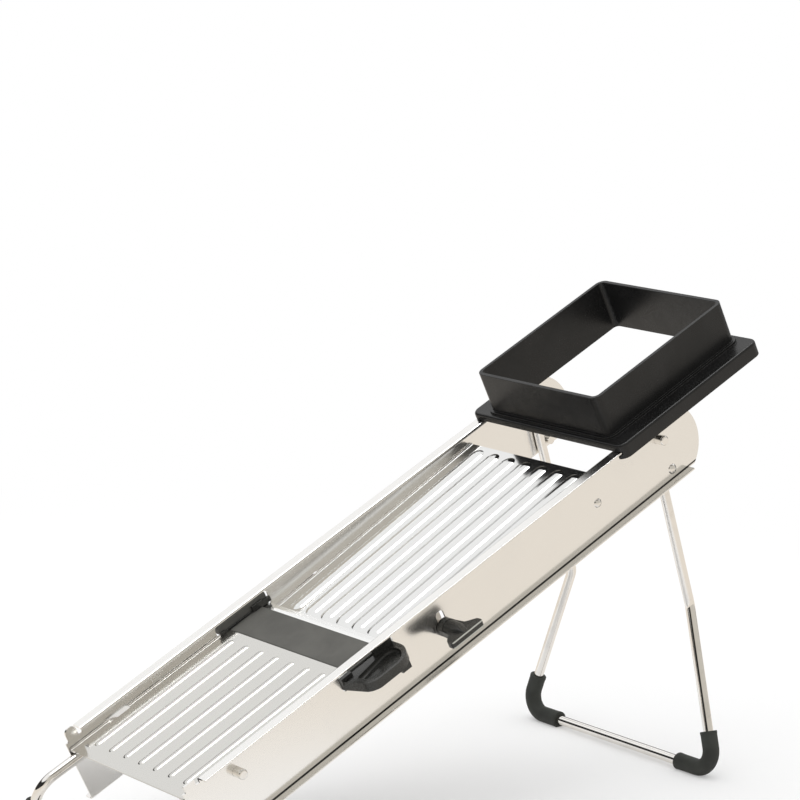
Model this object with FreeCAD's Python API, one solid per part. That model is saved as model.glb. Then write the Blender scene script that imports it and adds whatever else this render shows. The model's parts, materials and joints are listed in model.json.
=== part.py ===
import FreeCAD, Part
import math
import os

# Mandoline slicer on two folding wire legs, millimetres, +Z up.
# Pieces are drawn in the deck frame: x runs up the rails from their front end, y points to the
# left side and z stands square to the deck, from the top of the rails. The finished pieces are
# then tilted back together, so that the four rubber feet stand on Z = 0.

Vector = FreeCAD.Vector
RIGHT = -1
LEFT = 1
SIDES = (RIGHT, LEFT)

# Stance of the whole slicer
deck_tilt = 25.5
front_height = 58.7

# Side rails, folded from sheet
rail_length = 397.0
rail_height = 42.0
rail_sheet = 1.2
rail_half_width = 58.2
rail_flange = 7.0
rail_lip = 5.5
rail_bend = 1.8
nose_radius = 26.0
lip_end_gap = 16.0
stop_tab_start = 2.0
stop_tab_length = 7.5
stop_tab_height = 4.5
low_tab_height = 0.6
notch_width = 2.5
notch_depth = 3.0

# Ribbed plates
plate_sheet = 1.0
plate_side_gap = 0.4
plate_bend = 0.6
rib_count = 7
rib_margin = 13.1
run_out_rib_width = 4.4
run_out_rib_height = 0.75
run_out_rib_front = 9.0
run_out_rib_rear = 6.7
run_in_rib_width = 10.0
run_in_rib_height = 1.2
run_in_rib_end = 3.3

# Run-out plate, fixed between the rails
run_out_start = 0.8
run_out_depth = 7.0
plate_edge_rise = 0.9
stop_ear_length = 8.0
leg_notch_start = 28.0
leg_notch_end = 43.5
leg_notch_depth = 3.0
cross_bar_width = 14.0
cross_bar_drop = 7.0
cross_bar_sheet = 1.2
front_bar_x = 62.0
middle_bar_x = 98.0

# Run-in plate, hinged at its rear end and set down in front by the slice thickness
hinge_inset = 85.2
hinge_depth = 21.6
hinge_rod_dia = 4.2
hinge_head_dia = 5.6
hinge_head_height = 1.6
plate_over_hinge = 14.4
run_in_behind_hinge = 8.0
run_in_gap = 2.6
run_in_turn_down = 5.0
plate_setting = 2.7
plate_raise = 3.4
plate_lower = 1.0
bracket_width = 13.0
bracket_sheet = 1.2
bracket_inset = 8.6

# Clamp rod with its wing knob and end cap
clamp_setback = 32.7
clamp_below_surface = 9.0
clamp_rod_dia = 5.0
collar_dia = 11.0
collar_length = 3.5
hub_tip_dia = 5.0
knob_length = 20.0
wing_span = 24.0
wing_waist = 10.0
wing_bulge = 1.6
wing_thickness = 3.6
wing_tip_length = 4.0
wing_corner = 2.2
wing_inner_corner = 0.8
wing_round = 0.7
washer_thickness = 0.8
end_cap_dia = 12.0
end_cap_length = 8.0
end_cap_chamfer = 2.0
rod_in_cap = 4.5
rod_in_knob = 15.0

# Blade and its sliding holder
holder_front = 120.2
holder_length = 26.3
holder_top = 7.4
holder_height = 7.6
holder_top_length = 24.3
blade_sheet = 1.0
blade_cover = 0.8
blade_width = 18.8
blade_reach = 4.3
blade_bevel = 3.3
blade_rivet_count = 3
blade_rivet_dia = 3.0
blade_rivet_pitch = 40.0
tongue_start = 113.5
tongue_length = 37.0
tongue_hook_gap = 0.6
neck_inset = 3.0
neck_below_blade = 1.0
window_below_flange = 0.1
window_margin = 1.6
window_corner = 2.0

# Grip on the right end of the holder
grip_start = 112.4
grip_length = 39.0
grip_reach = 21.8
grip_slant = 5.3
grip_front_round = 8.0
grip_rear_round = 14.5
grip_drop = 0.3
grip_height = 5.0
grip_rim = 1.8
grip_end_rim = 4.2
pocket_front_land = 9.0
pocket_rear_land = 2.4
pocket_round = 6.0
grip_pocket = 3.0
grip_round = 0.9
ear_thickness = 2.6
front_ear_start = 2.1
front_ear_length = 5.0
front_ear_height = 1.8
rear_ear_start = 24.6
rear_ear_length = 13.0
rear_ear_height = 4.0
catch_width = 6.5
catch_inset = 0.9
catch_from_rail = 8.6
catch_thickness = 3.0
catch_drop = 9.0

# Wire legs
rod_dia = 6.0
leg_side_gap = 0.8
pin_reach = 6.5
pin_bend = 3.6
pin_end_round = 1.2
leg_bend = 12.0

# Front leg, drawn in the deck frame down to its bend
front_pivot_x = 34.0
front_pivot_depth = 12.3
front_arm = 58.0
front_arm_slope = -0.8
front_foot_x = -18.0
front_splay = 20.8
front_foot_bend = 8.0

# Rear stand
rear_pivot_inset = 29.8
rear_pivot_depth = 12.8
stand_upper = 110.3
stand_upper_lean = 8.2
stand_foot_back = 24.86
stand_splay = 32.0
stand_foot_bend = 11.0
stop_rivet_distance = 22.0
stop_rivet_dia = 5.0
stop_rivet_head_dia = 6.2
stop_rivet_head_height = 1.6

# Rubber elbows on the corners of both legs
foot_dia = 10.0
foot_up = 9.6
foot_across = 15.6
sole_depth = 0.4

# Food carriage, running on the rail flanges
carriage_rear_overhang = 57.0
carriage_length = 120.5
carriage_base = 4.2
carriage_corner = 6.0
carriage_overhang = 2.1
carriage_hook = 3.0
carriage_hook_height = 2.9
frame_inset = 4.8
frame_side_inset = 13.7
frame_height = 27.5
frame_wall = 2.4
frame_corner = 4.0
step_width = 2.0
step_height = 1.5
rim_round = 0.8
base_round = 1.2

# Clearances
running_fit = 0.06
slide_gap = 0.4
contact_gap = 0.3
seat_gap = 0.05

# Places worked out from the driving dimensions
tilt = math.radians(deck_tilt)
rail_inner = rail_half_width - rail_sheet
flange_edge = rail_half_width + rail_flange
hook_mouth = flange_edge + slide_gap - carriage_hook
nose_x = rail_length - nose_radius
foot_level = foot_dia / 2.0 - sole_depth
blade_top = holder_top + blade_cover
blade_edge_x = holder_front + holder_length + blade_reach
window_top = -rail_sheet - window_below_flange
leg_half_spacing = rail_inner - leg_side_gap - rod_dia / 2.0
front_foot_half_width = leg_half_spacing + front_splay
stand_foot_half_width = leg_half_spacing + stand_splay
plate_half_width = rail_inner - plate_side_gap
rib_pitch = 2.0 * (plate_half_width - rib_margin) / (rib_count - 1)
hinge_x = rail_length - hinge_inset
run_in_front = blade_edge_x + run_in_gap
clamp_arm = hinge_x - run_in_front - clamp_setback
rear_pivot_x = rail_length - rear_pivot_inset
stand_foot_x = rear_pivot_x * math.cos(tilt) + rear_pivot_depth * math.sin(tilt) + stand_foot_back
carriage_start = rail_length + carriage_rear_overhang - carriage_length


# Shapes shared by the pieces


def box(x0, x1, y0, y1, z0, z1):
    corner = Vector(min(x0, x1), min(y0, y1), min(z0, z1))
    return Part.makeBox(abs(x1 - x0), abs(y1 - y0), abs(z1 - z0), corner)


def bar_y(x, z, dia, y0, y1):
    """Round bar across the deck."""
    start = Vector(x, min(y0, y1), z)
    return Part.makeCylinder(dia / 2.0, abs(y1 - y0), start, Vector(0, 1, 0))


def cone_y(x, z, dia0, dia1, y0, y1):
    """Cone across the deck, dia0 wide at y0 and dia1 wide at y1."""
    way = Vector(0, 1 if y1 > y0 else -1, 0)
    return Part.makeCone(dia0 / 2.0, dia1 / 2.0, abs(y1 - y0), Vector(x, y0, z), way)


def rounded_path(points, radii, closed):
    """Wire through points, with an arc of its own radius at each corner."""
    count = len(points)
    ends = []
    for i, corner in enumerate(points):
        radius = radii[i]
        if radius == 0 or (not closed and i in (0, count - 1)):
            ends.append((corner, None, corner))
            continue
        to_last = (points[i - 1] - corner).normalize()
        to_next = (points[(i + 1) % count] - corner).normalize()
        half = to_last.getAngle(to_next) / 2.0
        cut = radius / math.tan(half)
        inward = (to_last + to_next).normalize()
        middle = corner + inward * (radius / math.sin(half) - radius)
        ends.append((corner + to_last * cut, middle, corner + to_next * cut))
    edges = []
    for i, (start, middle, end) in enumerate(ends):
        if middle is not None:
            edges.append(Part.Arc(start, middle, end).toShape())
        if i + 1 < count or closed:
            following = ends[(i + 1) % count][0]
            if end.distanceToPoint(following) > 1e-6:
                edges.append(Part.makeLine(end, following))
    return Part.Wire(edges)


def prism(points, radii, way):
    """Solid with a rounded outline, drawn out along way."""
    return Part.Face(rounded_path(points, radii, True)).extrude(way)


def block(x0, x1, half_width, corner, z0, z1):
    """Upright block, centred across the deck, with rounded corners."""
    outline = [Vector(x0, -half_width, z0), Vector(x1, -half_width, z0),
               Vector(x1, half_width, z0), Vector(x0, half_width, z0)]
    return prism(outline, [corner] * 4, Vector(0, 0, z1 - z0))


def wall_cut(side, x0, x1, z0, z1, corner):
    """Rounded opening through one rail's wall."""
    y = side * (rail_inner - 1.0)
    outline = [Vector(x0, y, z0), Vector(x1, y, z0), Vector(x1, y, z1), Vector(x0, y, z1)]
    return prism(outline, [corner] * 4, Vector(0, side * (rail_sheet + 2.0), 0))


def sweep(path, dia):
    """Round rod along a path."""
    start = path.Edges[0]
    point = start.valueAt(start.FirstParameter)
    way = start.tangentAt(start.FirstParameter)
    ring = Part.Wire(Part.makeCircle(dia / 2.0, point, way))
    return path.makePipeShell([ring], True, False)


def softened(shape, radius, chosen):
    """Round the edges that chosen picks out."""
    return shape.makeFillet(radius, [edge for edge in shape.Edges if chosen(edge)])


def level_at(edge, z):
    """Whether an edge lies flat at height z."""
    limits = edge.BoundBox
    return abs(limits.ZMin - z) < 1e-3 and abs(limits.ZMax - z) < 1e-3


def deck_from_level(x, z):
    """Deck place of a point given level with the table, from the rails' front end."""
    height = z - front_height
    return (x * math.cos(tilt) + height * math.sin(tilt),
            height * math.cos(tilt) - x * math.sin(tilt))


def plate_frame(shape):
    """Bring a piece of the run-in plate from its hinge frame to its set place."""
    shape.rotate(Vector(0, 0, 0), Vector(0, 1, 0), -plate_setting)
    shape.translate(Vector(hinge_x, 0, -hinge_depth))
    return shape


def clamp_place(turn):
    """Place of the clamp rod in the deck frame, with the plate raised by turn degrees."""
    angle = math.radians(plate_setting - turn)
    rise = plate_over_hinge - clamp_below_surface
    x = hinge_x - clamp_arm * math.cos(angle) - rise * math.sin(angle)
    z = -hinge_depth - clamp_arm * math.sin(angle) + rise * math.cos(angle)
    return x, z


# Rails


def rail_profile(side):
    """Section of a rail: wall, outward flange on top and outward lip below."""
    top = 0.0
    bottom = -rail_height
    lip_edge = rail_half_width + rail_lip
    outline = [(rail_inner, bottom), (lip_edge, bottom), (lip_edge, bottom + rail_sheet),
               (rail_half_width, bottom + rail_sheet), (rail_half_width, top - rail_sheet),
               (flange_edge, top - rail_sheet), (flange_edge, top), (rail_inner, top)]
    radii = [rail_bend, 0.4, 0.4, 0.5, 0.5, 0.4, 0.4, rail_bend]
    return [Vector(0, side * y, z) for y, z in outline], radii


def rail(side):
    outline, radii = rail_profile(side)
    body = prism(outline, radii, Vector(rail_length, 0, 0))
    reach = flange_edge + 5.0
    straight = box(-1.0, nose_x, 0, side * reach, -rail_height - 1.0, 1.0)
    nose_z = -rail_height / 2.0
    nose = bar_y(nose_x, nose_z, 2.0 * nose_radius, 0, side * reach)
    body = body.common(straight.fuse(nose))
    lip_end = rail_length - lip_end_gap
    lip_top = -rail_height + rail_sheet
    body = body.cut(box(lip_end, rail_length, side * rail_half_width, side * reach,
                        -rail_height - 1.0, lip_top + 1.0))
    flange_start = stop_tab_start + stop_tab_length + notch_width
    body = body.cut(box(-1.0, flange_start, side * rail_half_width, side * reach,
                        -rail_sheet - 1.0, 1.0))
    body = body.cut(box(-1.0, flange_start, side * (rail_inner - 1.0), side * reach,
                        -notch_depth, 1.0))
    tab_end = stop_tab_start + stop_tab_length
    tab_top = stop_tab_height if side == LEFT else low_tab_height
    tab_radius = min(stop_tab_length / 2.0 - 0.2, 0.8 * tab_top)
    tab = [Vector(stop_tab_start, side * rail_inner, -notch_depth - 1.0),
           Vector(tab_end, side * rail_inner, -notch_depth - 1.0),
           Vector(tab_end, side * rail_inner, tab_top),
           Vector(stop_tab_start, side * rail_inner, tab_top)]
    body = body.fuse(prism(tab, [0, 0, tab_radius, tab_radius], Vector(0, side * rail_sheet, 0)))
    window_x0 = tongue_start - window_margin
    window_x1 = blade_edge_x + window_margin
    window_z0 = -(holder_top + holder_height) - slide_gap
    body = body.cut(wall_cut(side, window_x0, window_x1, window_z0, window_top, window_corner))
    hole = rod_dia + 2.0 * running_fit
    wall = (side * (rail_inner - 1.0), side * (rail_half_width + 1.0))
    body = body.cut(bar_y(front_pivot_x, -front_pivot_depth, hole, *wall))
    body = body.cut(bar_y(rear_pivot_x, -rear_pivot_depth, hole, *wall))
    body = body.cut(bar_y(hinge_x, -hinge_depth, hinge_rod_dia + 2.0 * seat_gap, *wall))
    stop_x, stop_z = stop_rivet_place()
    body = body.cut(bar_y(stop_x, stop_z, stop_rivet_dia + 2.0 * seat_gap, *wall))
    half_slot = clamp_rod_dia / 2.0 + slide_gap
    x0, z0 = clamp_place(-plate_lower)
    x1, z1 = clamp_place(plate_raise)
    slot = wall_cut(side, min(x0, x1) - half_slot, max(x0, x1) + half_slot,
                    z0 - half_slot, z1 + half_slot, half_slot)
    return body.cut(slot).removeSplitter()


# Ribbed plates


def tray(x0, x1, top):
    """Plate with slightly raised sides, its upper face at height top."""
    half = plate_half_width
    inner = half - plate_sheet
    rim = top + plate_edge_rise
    under = top - plate_sheet
    outline = [(-half, rim), (-half, under), (half, under), (half, rim),
               (inner, rim), (inner, top), (-inner, top), (-inner, rim)]
    turn = plate_bend + plate_sheet
    radii = [0.2, turn, turn, 0.2, 0.2, plate_bend, plate_bend, 0.2]
    points = [Vector(x0, y, z) for y, z in outline]
    return prism(points, radii, Vector(x1 - x0, 0, 0))


def rib(x0, x1, y, top, width, height, sink):
    """Round-backed rib: a bar with ball ends, sunk into the plate."""
    radius = (width ** 2 / 4.0 + height ** 2) / (2.0 * height)
    z = top + height - radius
    core = radius - sink
    bar = Part.makeCylinder(core, x1 - x0, Vector(x0, y, z), Vector(1, 0, 0))
    for x in (x0, x1):
        bar = bar.fuse(Part.makeSphere(core, Vector(x, y, z)))
    return bar


def ribbed(plate, x0, x1, top, width, height):
    """Press ribs of one width into a plate, their ends at x0 and x1."""
    start = x0 + width / 2.0
    end = x1 - width / 2.0
    above = box(x0, x1, -plate_half_width, plate_half_width, top - plate_sheet / 2.0, top + 10.0)
    rows = [(i - (rib_count - 1) / 2.0) * rib_pitch for i in range(rib_count)]
    for y in rows:
        plate = plate.fuse(rib(start, end, y, top, width, height, 0.0).common(above))
    for y in rows:
        plate = plate.cut(rib(start, end, y, top, width, height, plate_sheet))
    return plate


def front_arm_height(x):
    """Height of the front leg's arm above or below the deck plane at x."""
    return -front_pivot_depth - (front_pivot_x - x) * math.tan(math.radians(front_arm_slope))


def run_out_plate():
    x0 = run_out_start
    x1 = holder_front - slide_gap
    top = -run_out_depth
    plate = tray(x0, x1, top)
    rim = top + plate_edge_rise
    plate = ribbed(plate, x0 + run_out_rib_front, x1 - run_out_rib_rear, top,
                   run_out_rib_width, run_out_rib_height)
    ear_end = x0 + stop_ear_length
    arm_height = max(front_arm_height(x0), front_arm_height(ear_end))
    ear_under = arm_height + rod_dia / 2.0 + contact_gap
    for side in SIDES:
        edge = side * plate_half_width
        ear_inside = side * (leg_half_spacing - rod_dia / 2.0)
        ear = box(x0, ear_end, ear_inside, edge, ear_under, top - plate_sheet / 2.0)
        plate = plate.fuse(ear)
        notch = edge - side * leg_notch_depth
        plate = plate.cut(box(leg_notch_start, leg_notch_end, notch, edge + side,
                              ear_under - 1.0, rim + 1.0))
        edge_foot = edge - side * (plate_sheet + plate_bend)
        plate = plate.cut(box(tongue_start - slide_gap, x1 + 1.0, edge_foot, edge + side, top, rim + 1.0))
    return plate.removeSplitter()


def cross_bar(x):
    """Down-turned channel that carries the run-out plate between the rails."""
    top = -run_out_depth - plate_sheet
    x0 = x - cross_bar_width / 2.0
    x1 = x + cross_bar_width / 2.0
    whole = box(x0, x1, -rail_inner, rail_inner, top - cross_bar_drop, top)
    hollow = box(x0 + cross_bar_sheet, x1 - cross_bar_sheet, -rail_inner, rail_inner,
                 top - cross_bar_drop, top - cross_bar_sheet)
    return whole.cut(hollow)


def run_in_plate():
    x0 = run_in_front - hinge_x
    x1 = run_in_behind_hinge
    top = plate_over_hinge
    plate = tray(x0, x1, top)
    plate = ribbed(plate, x0 + run_in_rib_end, x1 - run_in_rib_end, top,
                   run_in_rib_width, run_in_rib_height)
    turn_down = box(x1 - plate_sheet, x1, -plate_half_width, plate_half_width,
                    top - run_in_turn_down, top)
    plate = plate.fuse(turn_down)
    return plate_frame(plate.removeSplitter())


def plate_bracket(x, z, dia):
    """Channel under the run-in plate whose ears hold a rod at x, z of the hinge frame."""
    half = plate_half_width - bracket_inset
    under = plate_over_hinge - plate_sheet
    x0 = x - bracket_width / 2.0
    x1 = x + bracket_width / 2.0
    bracket = box(x0, x1, -half, half, under - bracket_sheet, under)
    ear_radius = bracket_width / 2.0
    for side in SIDES:
        y = side * half
        ear = box(x0, x1, y, y - side * bracket_sheet, z, under)
        bracket = bracket.fuse(ear)
        bracket = bracket.fuse(bar_y(x, z, 2.0 * ear_radius, y, y - side * bracket_sheet))
        bracket = bracket.cut(bar_y(x, z, dia, y + side, y - side * (bracket_sheet + 1.0)))
    bracket = bracket.cut(box(x0 - 1.0, x1 + 1.0, -half, half, under, under + bracket_width))
    return plate_frame(bracket.removeSplitter())


def front_bracket():
    rise = plate_over_hinge - clamp_below_surface
    return plate_bracket(-clamp_arm, rise, clamp_rod_dia + 2.0 * seat_gap)


def rear_bracket():
    return plate_bracket(0.0, 0.0, hinge_rod_dia + 2.0 * running_fit)


def hinge_rod():
    """Rod across both rails, headed on the outside."""
    rod = bar_y(hinge_x, -hinge_depth, hinge_rod_dia, -rail_half_width, rail_half_width)
    for side in SIDES:
        y = side * rail_half_width
        head = rivet_head(hinge_x, -hinge_depth, y, side, hinge_head_dia, hinge_head_height)
        rod = rod.fuse(head)
    return rod


def rivet_head(x, z, y, side, dia, height):
    """Domed head standing out from a wall at y."""
    radius = (dia ** 2 / 4.0 + height ** 2) / (2.0 * height)
    ball = Part.makeSphere(radius, Vector(x, y + side * (height - radius), z))
    return ball.common(box(x - dia, x + dia, y, y + side * (height + 1.0), z - dia, z + dia))


# Clamp rod, wing knob and end cap


def clamp_rod():
    x, z = clamp_place(0.0)
    start = -(rail_half_width + slide_gap + washer_thickness + rod_in_knob)
    end = rail_half_width + slide_gap + rod_in_cap
    return bar_y(x, z, clamp_rod_dia, start, end)


def clamp_washer():
    x, z = clamp_place(0.0)
    y0 = -(rail_half_width + slide_gap)
    y1 = y0 - washer_thickness
    ring = bar_y(x, z, collar_dia, y0, y1)
    return ring.cut(bar_y(x, z, clamp_rod_dia + 2.0 * running_fit, y0 + 1.0, y1 - 1.0))


def wing_knob():
    """Collar and tapering hub with a flat wing that flares towards its end."""
    x, z = clamp_place(0.0)
    y0 = -(rail_half_width + slide_gap + washer_thickness + contact_gap)
    tip = y0 - knob_length
    flare = tip + wing_tip_length
    neck = y0 - collar_length
    knob = bar_y(x, z, collar_dia, y0, neck)
    knob = knob.fuse(cone_y(x, z, collar_dia - 1.0, hub_tip_dia, neck, tip + 0.6))
    low = z - wing_thickness / 2.0
    waist = wing_waist / 2.0
    span = wing_span / 2.0
    middle = (neck + flare) / 2.0
    bulge = waist + wing_bulge
    inner = span - wing_corner
    right_edge = Part.Arc(Vector(x + waist, neck, low), Vector(x + bulge, middle, low),
                          Vector(x + inner, flare, low)).toShape()
    left_edge = Part.Arc(Vector(x - inner, flare, low), Vector(x - bulge, middle, low),
                         Vector(x - waist, neck, low)).toShape()
    corners = [(inner, flare), (span, flare), (span, tip), (-span, tip), (-span, flare), (-inner, flare)]
    radii = [0, wing_inner_corner, wing_corner, wing_corner, wing_inner_corner, 0]
    end = rounded_path([Vector(x + dx, y, low) for dx, y in corners], radii, False)
    base = Part.makeLine(Vector(x - waist, neck, low), Vector(x + waist, neck, low))
    outline = Part.Wire([right_edge] + end.Edges + [left_edge, base])
    wing = Part.Face(outline).extrude(Vector(0, 0, wing_thickness))
    high = low + wing_thickness
    wing = softened(wing, wing_round, lambda edge: level_at(edge, low) or level_at(edge, high))
    knob = knob.fuse(wing)
    bore_end = -(rail_half_width + slide_gap + washer_thickness + rod_in_knob + contact_gap)
    bore = bar_y(x, z, clamp_rod_dia + 2.0 * running_fit, y0 + 1.0, bore_end)
    return knob.cut(bore).removeSplitter()


def clamp_end_cap():
    x, z = clamp_place(0.0)
    y0 = rail_half_width + slide_gap
    y1 = y0 + end_cap_length
    straight = y1 - end_cap_chamfer
    cap = bar_y(x, z, end_cap_dia, y0, straight)
    cap = cap.fuse(cone_y(x, z, end_cap_dia, end_cap_dia - 2.0 * end_cap_chamfer, straight, y1))
    bore = bar_y(x, z, clamp_rod_dia + 2.0 * seat_gap, y0 - 1.0, y0 + rod_in_cap + contact_gap)
    return cap.cut(bore).removeSplitter()


# Blade, holder and grip


def blade():
    """Straight blade with its bevel towards the run-in plate."""
    x1 = blade_edge_x
    x0 = x1 - blade_width
    under = -blade_top - blade_sheet
    outline = [Vector(x0, 0, under), Vector(x1, 0, under), Vector(x1, 0, under + 0.15),
               Vector(x1 - blade_bevel, 0, -blade_top), Vector(x0, 0, -blade_top)]
    half = rail_inner - slide_gap
    for point in outline:
        point.y = -half
    body = prism(outline, [0] * 5, Vector(0, 2.0 * half, 0))
    for x, y in blade_rivet_places():
        start = Vector(x, y, under - blade_sheet)
        hole = Part.makeCylinder(blade_rivet_dia / 2.0 + seat_gap, 3.0 * blade_sheet, start)
        body = body.cut(hole)
    return body


def blade_rivet_places():
    x = blade_edge_x - blade_width + 5.0
    middle = (blade_rivet_count - 1) / 2.0
    return [(x, (i - middle) * blade_rivet_pitch) for i in range(blade_rivet_count)]


def blade_rivets():
    """Rivets that hold the blade up in the holder, set in from below."""
    low = -(holder_top + holder_height)
    rivets = []
    for x, y in blade_rivet_places():
        length = holder_height - blade_cover
        rivets.append(Part.makeCylinder(blade_rivet_dia / 2.0, length, Vector(x, y, low)))
    return Part.makeCompound(rivets)


def blade_holder():
    """Moulded bar with a slit for the blade, a neck on the right and a tall tongue on the left."""
    x0 = holder_front
    x1 = holder_front + holder_length
    low = -(holder_top + holder_height)
    half = rail_inner - slide_gap
    body = box(x0, x1, -half, half, low, -holder_top)
    body = body.cut(box(x0 + holder_top_length, x1 + 1.0, -half, half, -blade_top, 0.0))
    slit_x = blade_edge_x - blade_width - seat_gap
    body = body.cut(box(slit_x, x1 + 1.0, -half, half, -blade_top - blade_sheet - seat_gap,
                        -blade_top + seat_gap))
    neck_end = -(rail_half_width + slide_gap)
    neck_top = -blade_top - blade_sheet - neck_below_blade
    body = body.fuse(box(x0 + neck_inset, x1 - neck_inset, -half, neck_end, low, neck_top))
    tongue_end = hook_mouth - tongue_hook_gap
    tongue_stop = tongue_start + tongue_length
    tongue_top = window_top - slide_gap
    body = body.fuse(box(x0, tongue_stop, half, tongue_end, low, tongue_top))
    lip_low = -run_out_depth + slide_gap
    body = body.fuse(box(tongue_start, x0, half, tongue_end, lip_low, tongue_top))
    length = holder_height - blade_cover
    for x, y in blade_rivet_places():
        hole = Part.makeCylinder(blade_rivet_dia / 2.0 + seat_gap, length, Vector(x, y, low))
        body = body.cut(hole)
    return body.removeSplitter()


def grip_outline(z):
    """Blunt front end that slants outwards, straight side and a long round rear corner."""
    back = -(rail_half_width + slide_gap)
    front = back - grip_reach
    x1 = grip_start + grip_length
    points = [Vector(grip_start, back, z), Vector(x1, back, z), Vector(x1, front, z),
              Vector(grip_start + grip_slant, front, z)]
    return rounded_path(points, [0, 0, grip_rear_round, grip_front_round], True)


def pocket_outline(z):
    """Leaf-shaped thumb hollow: narrow in front, a rim all round."""
    back = -(rail_half_width + slide_gap)
    front = back - grip_reach + grip_rim
    x0 = grip_start + grip_end_rim
    x1 = grip_start + grip_length - grip_end_rim
    lead = grip_slant * pocket_front_land / grip_reach
    points = [Vector(x0 + lead, back - pocket_front_land, z), Vector(x1, back - pocket_rear_land, z),
              Vector(x1, front, z), Vector(x0 + grip_slant, front, z)]
    height = back - pocket_rear_land - front
    radii = [grip_rim, min(pocket_round, 0.34 * height), min(grip_rear_round - grip_end_rim, 0.5 * height),
             grip_end_rim]
    return rounded_path(points, radii, True)


def holder_grip():
    """Grip with a hollowed top, two ears beside the rail and a catch below its rear end."""
    top = -holder_top - grip_drop
    low = top - grip_height
    grip = Part.Face(grip_outline(low)).extrude(Vector(0, 0, grip_height))
    grip = softened(grip, grip_round, lambda edge: level_at(edge, low) or level_at(edge, top))
    pocket = Part.Face(pocket_outline(top - grip_pocket))
    grip = grip.cut(pocket.extrude(Vector(0, 0, grip_pocket + 1.0)))
    back = -(rail_half_width + slide_gap)
    ears = ((front_ear_start, front_ear_length, front_ear_height),
            (rear_ear_start, rear_ear_length, rear_ear_height))
    for start, length, height in ears:
        x0 = grip_start + start
        grip = grip.fuse(box(x0, x0 + length, back - ear_thickness, back, low + grip_round, top + height))
    x1 = grip_start + grip_length - catch_inset
    y = back - catch_from_rail
    catch = box(x1 - catch_width, x1, y, y - catch_thickness, low - catch_drop, low + 1.0)
    return grip.fuse(catch).removeSplitter()


# Wire legs, their feet and the stop rivets


def front_leg_points(side):
    """Corners of one half of the front leg, from the pin's end to the foot."""
    bend_x = front_pivot_x - front_arm
    foot_x, foot_z = deck_from_level(front_foot_x, foot_level)
    return [Vector(front_pivot_x, side * (rail_half_width + pin_reach), -front_pivot_depth),
            Vector(front_pivot_x, side * leg_half_spacing, -front_pivot_depth),
            Vector(bend_x, side * leg_half_spacing, front_arm_height(bend_x)),
            Vector(foot_x, side * front_foot_half_width, foot_z)]


def rear_stand_points(side):
    """Corners of one half of the rear stand, from the pin's end to the foot."""
    lean = math.radians(stand_upper_lean)
    bend_x = rear_pivot_x - stand_upper * math.sin(lean)
    bend_z = -rear_pivot_depth - stand_upper * math.cos(lean)
    foot_x, foot_z = deck_from_level(stand_foot_x, foot_level)
    return [Vector(rear_pivot_x, side * (rail_half_width + pin_reach), -rear_pivot_depth),
            Vector(rear_pivot_x, side * leg_half_spacing, -rear_pivot_depth),
            Vector(bend_x, side * leg_half_spacing, bend_z),
            Vector(foot_x, side * stand_foot_half_width, foot_z)]


def leg(points_of_side, foot_bend):
    """One bent rod from pin to pin."""
    points = points_of_side(RIGHT) + points_of_side(LEFT)[::-1]
    radii = [0, pin_bend, leg_bend, foot_bend, foot_bend, leg_bend, pin_bend, 0]
    rod = sweep(rounded_path(points, radii, False), rod_dia)
    pin_end = rail_half_width + pin_reach - 1e-3
    ends = [edge for edge in rod.Edges if edge.BoundBox.YMin > pin_end or edge.BoundBox.YMax < -pin_end]
    return rod.makeFillet(pin_end_round, ends)


def foot(points_of_side, foot_bend, side):
    """Rubber elbow over one lower corner of a leg, reaching past the bend both ways."""
    bend, corner = points_of_side(side)[2:]
    up = (bend - corner).normalize()
    inward = Vector(0, -side, 0)
    bend_reach = foot_bend / math.tan(up.getAngle(inward) / 2.0)
    across = corner + inward * (bend_reach + foot_across)
    upright = corner + up * (bend_reach + foot_up)
    path = rounded_path([upright, corner, across], [0, foot_bend, 0], False)
    elbow = sweep(path, foot_dia).cut(sweep(path, rod_dia + 2.0 * seat_gap))
    return elbow.cut(ground())


def ground():
    """Table top, as seen from the deck frame."""
    reach = 2.0 * rail_length
    table = box(-reach, reach, -reach, reach, -front_height - foot_dia, -front_height)
    table.rotate(Vector(0, 0, 0), Vector(0, 1, 0), deck_tilt)
    return table


def stop_rivet_place():
    """Place of the rivet behind the rear stand that keeps it from opening too far."""
    lean = math.radians(stand_upper_lean)
    offset = rod_dia / 2.0 + stop_rivet_dia / 2.0 + contact_gap
    x = rear_pivot_x - stop_rivet_distance * math.sin(lean) + offset * math.cos(lean)
    z = -rear_pivot_depth - stop_rivet_distance * math.cos(lean) - offset * math.sin(lean)
    return x, z


def stop_rivets():
    x, z = stop_rivet_place()
    rivets = []
    for side in SIDES:
        y = side * rail_half_width
        shank = bar_y(x, z, stop_rivet_dia, side * (leg_half_spacing - rod_dia / 2.0), y)
        head = rivet_head(x, z, y, side, stop_rivet_head_dia, stop_rivet_head_height)
        rivets.append(shank.fuse(head))
    return Part.makeCompound(rivets)


# Food carriage


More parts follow.
